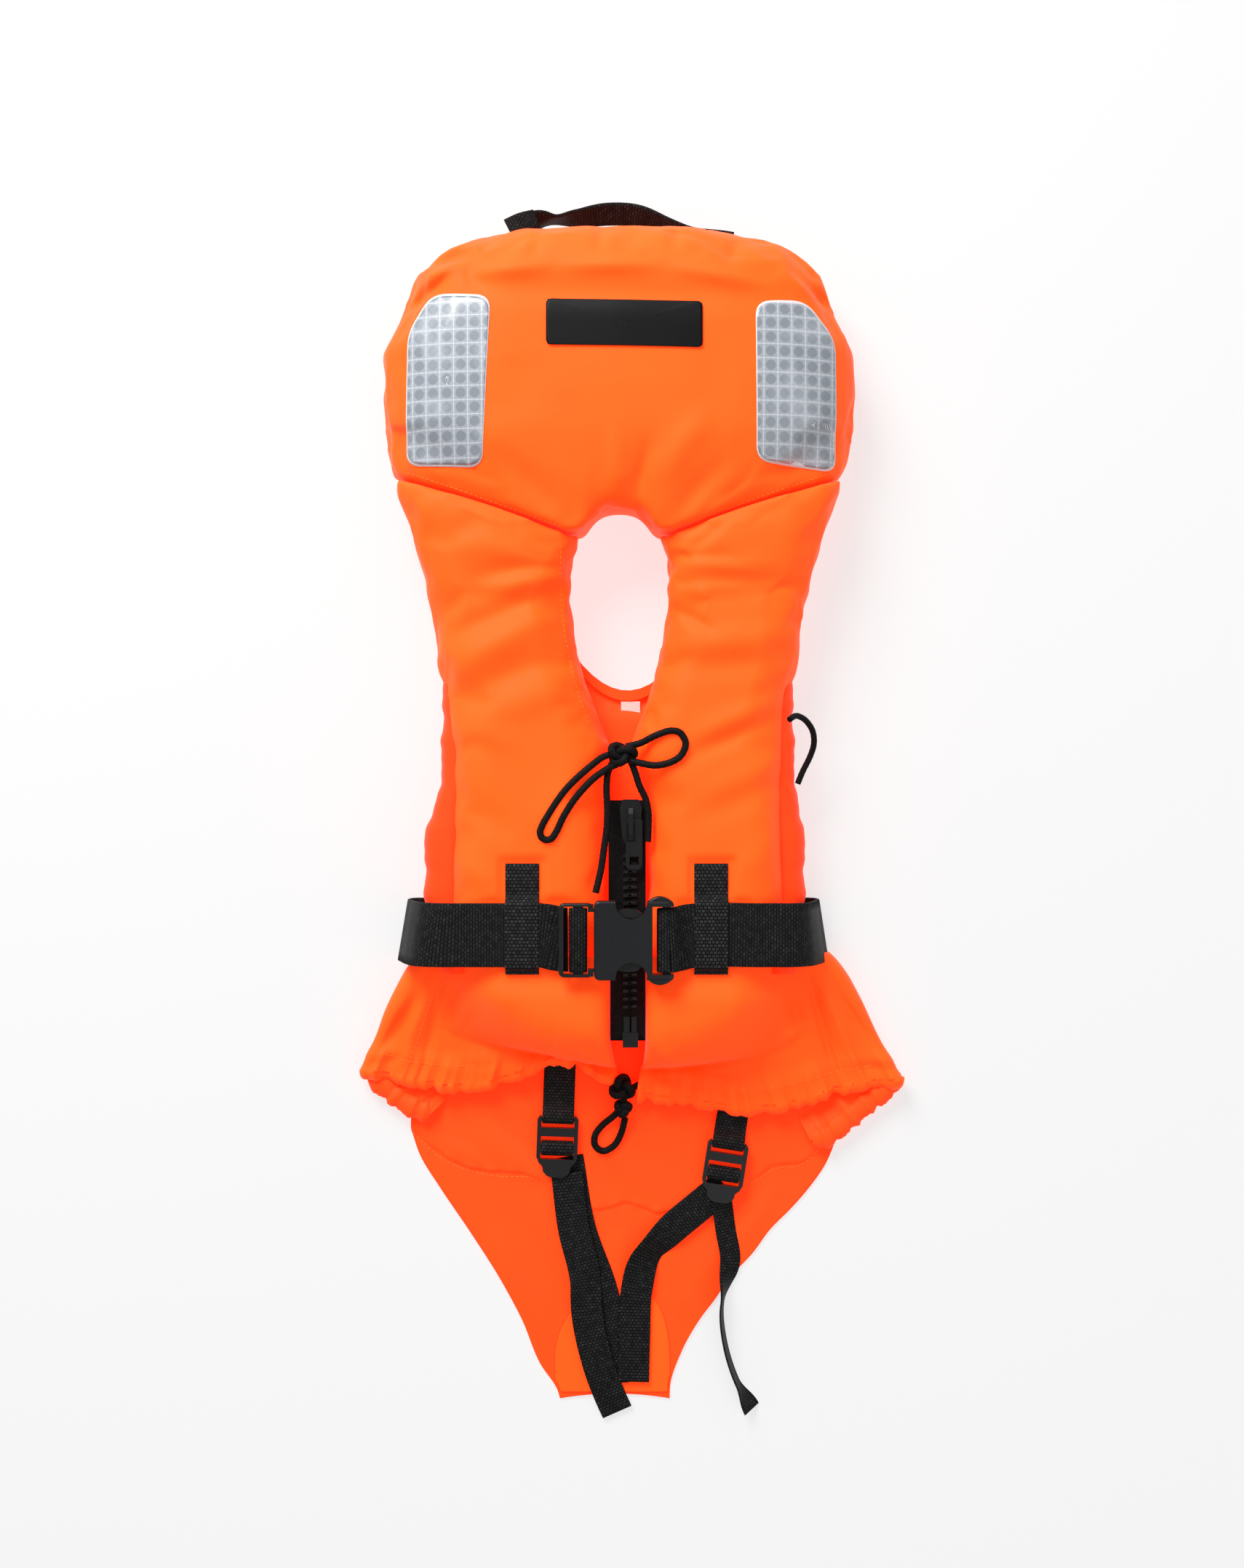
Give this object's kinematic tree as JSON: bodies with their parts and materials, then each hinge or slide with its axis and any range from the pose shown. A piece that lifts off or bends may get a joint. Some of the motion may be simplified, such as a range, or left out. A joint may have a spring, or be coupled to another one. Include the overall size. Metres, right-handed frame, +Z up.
{
  "type": "life jacket",
  "caption": "Small foam life jacket with padded collar, front zip, belt with side-release buckle, tie cords, gathered hem and tapered crotch flap with two straps.",
  "frame": {"origin": "middle of the bounding box's base: the jacket lies flat on its back on the plane Z = 0", "axes": "+Z up through the jacket's front, +Y towards the collar, +X towards the right of someone who looks down at the front"},
  "size_m": [0.347, 0.7663, 0.0713],
  "materials": {
    "shell_fabric": "woven nylon, slightly shiny",
    "foam": "closed-cell foam",
    "label_fabric": "printed satin tape",
    "zip_tape": "woven tape",
    "zip_plastic": "moulded acetal",
    "slider_plastic": "moulded plastic",
    "webbing": "flat woven polyester webbing",
    "narrow_webbing": "flat woven polyester webbing",
    "buckle_plastic": "satin acetal",
    "reflective": "glass-bead reflective tape under a lattice of clear cells",
    "badge_rubber": "smooth black patch",
    "cord_braid": "round braid"
  },
  "bodies": {
    "jacket": {"front_cover_left": "shell_fabric", "front_cover_right": "shell_fabric", "back_cover": "shell_fabric", "neck_binding": "shell_fabric", "side_panel_left": "shell_fabric", "side_panel_right": "shell_fabric", "skirt_left": "shell_fabric", "skirt_right": "shell_fabric", "hem_casing_left": "shell_fabric", "hem_casing_right": "shell_fabric", "hem_casing_back": "shell_fabric", "crotch_flap": "shell_fabric", "flap_reinforcement": "shell_fabric", "front_foam_left": "foam", "front_foam_right": "foam", "back_foam": "foam", "size_label": "label_fabric", "zip_tape_left": "zip_tape", "zip_tape_right": "zip_tape", "zip_teeth_left": "zip_plastic", "zip_teeth_right": "zip_plastic", "zip_box": "zip_plastic", "belt_left": "webbing", "belt_right": "webbing", "belt_back": "webbing", "belt_slack": "webbing", "belt_loop_left": "webbing", "belt_loop_right": "webbing", "strap_tab_left": "narrow_webbing", "strap_tab_right": "narrow_webbing", "crotch_strap_left": "narrow_webbing", "crotch_strap_right": "narrow_webbing", "strap_tail_left": "narrow_webbing", "strap_tail_right": "narrow_webbing", "buckle_female": "buckle_plastic", "neck_knot": "cord_braid", "neck_loop_right": "cord_braid", "neck_bight_left": "cord_braid", "neck_end_left": "cord_braid", "neck_end_right": "cord_braid", "hem_knots": "cord_braid", "hem_cord": "cord_braid", "side_cord": "cord_braid"},
    "collar": {"collar_cover": "shell_fabric", "collar_foam": "foam", "reflective_patch_left": "reflective", "reflective_patch_right": "reflective", "collar_badge": "badge_rubber"},
    "handle": {"carry_handle": "webbing"},
    "slider": {"zip_slider": "slider_plastic"},
    "pull": {"zip_pull": "slider_plastic"},
    "buckle_half": {"buckle_male": "buckle_plastic", "buckle_web": "webbing"},
    "prong_a": {"prong_upper": "buckle_plastic"},
    "prong_b": {"prong_lower": "buckle_plastic"},
    "lock_left": {"ladder_lock_left": "buckle_plastic", "lock_web_left": "narrow_webbing"},
    "lock_right": {"ladder_lock_right": "buckle_plastic", "lock_web_right": "narrow_webbing"}
  },
  "joints": [
    {"name": "collar_fold", "type": "hinge", "parent": "jacket", "child": "collar", "pos_m": [-0.008, 0.19385, 0.0606], "axis": [1, 0, 0], "range_deg": [0, 35]},
    {"name": "handle_lift", "type": "hinge", "parent": "collar", "child": "handle", "pos_m": [-0.008, 0.366, 0.024], "axis": [1, 0, 0], "range_deg": [0, 60]},
    {"name": "zip_slide", "type": "slide", "parent": "jacket", "child": "slider", "axis": [0, -1, 0], "range_m": [0, 0.1]},
    {"name": "zip_pull_lift", "type": "hinge", "parent": "slider", "child": "pull", "pos_m": [0, -0.001, 0.0468], "axis": [-1, 0, 0], "range_deg": [0, 115]},
    {"name": "buckle_slide", "type": "slide", "parent": "jacket", "child": "buckle_half", "axis": [-1, 0, 0], "range_m": [0, 0.026], "deforming": ["belt_slack"]},
    {"name": "prong_upper_flex", "type": "hinge", "parent": "buckle_half", "child": "prong_a", "pos_m": [-0.0174, -0.0574, 0.0641], "axis": [0, 0, -1], "range_deg": [0, 6], "stiffness_Nm_per_rad": 0.3},
    {"name": "prong_lower_flex", "type": "hinge", "parent": "buckle_half", "child": "prong_b", "pos_m": [-0.0174, -0.0886, 0.0641], "axis": [0, 0, 1], "range_deg": [0, 6]},
    {"name": "lock_left_tilt", "type": "hinge", "parent": "jacket", "child": "lock_left", "pos_m": [-0.046, -0.1916, 0.0064], "axis": [-0.9994, 0.0349, 0], "range_deg": [0, 45]},
    {"name": "lock_right_tilt", "type": "hinge", "parent": "jacket", "child": "lock_right", "pos_m": [0.062, -0.2076, 0.0082], "axis": [-0.9877, 0.1564, 0], "range_deg": [0, 45]}
  ],
  "couplings": [
    {"joint": "prong_lower_flex", "follows": "prong_upper_flex", "ratio": 1}
  ]
}
